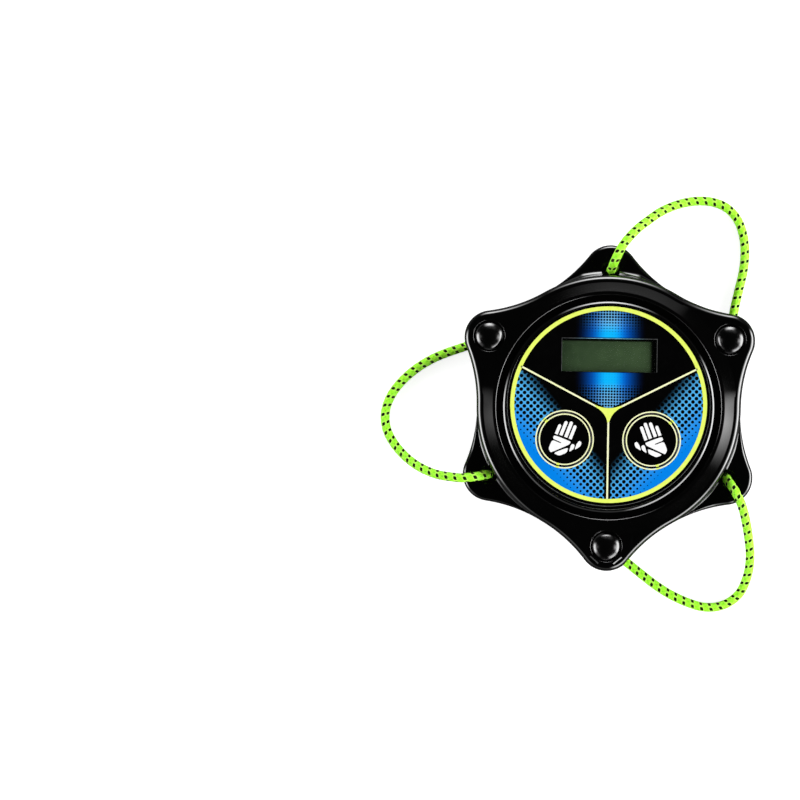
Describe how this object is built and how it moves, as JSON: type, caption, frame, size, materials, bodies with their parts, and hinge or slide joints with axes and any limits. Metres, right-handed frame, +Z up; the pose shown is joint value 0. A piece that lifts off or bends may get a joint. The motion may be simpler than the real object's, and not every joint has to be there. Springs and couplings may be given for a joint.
{
  "type": "speed cube timer",
  "caption": "Flat three-lobed desk timer with two finger pads, a small display, a coin cell under a twist-off cover, and elastic cord loops.",
  "frame": {"origin": "on the desk under the middle of the casing", "axes": "+Z up out of the face, +Y towards the display, +X to the right as the face is read"},
  "size_m": [0.1259, 0.1389, 0.0172],
  "materials": {
    "shell": "polished black ABS",
    "gloss_black": "polished black",
    "label": "printed film, black and blue with lime lines",
    "clear": "clear window",
    "lcd": "unlit grey-green display",
    "reflector": "satin foil",
    "dark_plastic": "moulded",
    "zebra": "striped silicone",
    "white_plastic": "moulded",
    "board": "solder mask",
    "epoxy": "cured drop",
    "chip": "ceramic with tinned ends",
    "steel": "bright",
    "contact": "nickel-washed spring strip",
    "rubber": "matte",
    "cord": "braided lime elastic with black tracer flecks"
  },
  "bodies": {
    "root": {"lower_shell": "shell", "upper_shell": "shell", "face_bezel": "gloss_black", "face_label": "label", "window_lens": "clear", "lcd_glass": "lcd", "lcd_reflector": "reflector", "lcd_frame": "dark_plastic", "zebra_strip": "zebra", "left_switch_base": "dark_plastic", "right_switch_base": "dark_plastic", "main_board": "board", "controller_blob": "epoxy", "board_components": "chip", "crystal": "steel", "buzzer": "dark_plastic", "coin_cell": "steel", "minus_contact": "contact", "plus_contact": "contact", "case_screws": "steel", "board_screws": "steel", "top_foot": "rubber", "left_foot": "rubber", "right_foot": "rubber", "right_dome_cap": "gloss_black", "left_dome_cap": "gloss_black", "bottom_dome_cap": "gloss_black", "top_cord": "cord", "left_cord": "cord", "right_cord": "cord", "top_hole_knot": "cord", "left_hole_knot": "cord", "right_hole_knot": "cord", "right_dome_knot": "cord", "left_dome_knot": "cord", "bottom_dome_knot": "cord"},
    "left_pad": {"left_pad": "gloss_black", "left_switch_plunger": "white_plastic"},
    "right_pad": {"right_pad": "gloss_black", "right_switch_plunger": "white_plastic"},
    "battery_cover": {"battery_cover": "shell"}
  },
  "joints": [
    {"name": "left_pad_press", "type": "slide", "parent": "root", "child": "left_pad", "axis": [0, 0, -1], "range_m": [0, 0.0005], "stiffness_N_per_m": 300, "springref_m": -0.001},
    {"name": "right_pad_press", "type": "slide", "parent": "root", "child": "right_pad", "axis": [0, 0, -1], "range_m": [0, 0.0005], "stiffness_N_per_m": 300, "springref_m": -0.001},
    {"name": "battery_cover_turn", "type": "hinge", "parent": "root", "child": "battery_cover", "pos_m": [0, 0, 0.0014], "axis": [0, 0, -1], "range_deg": [0, 45]}
  ]
}
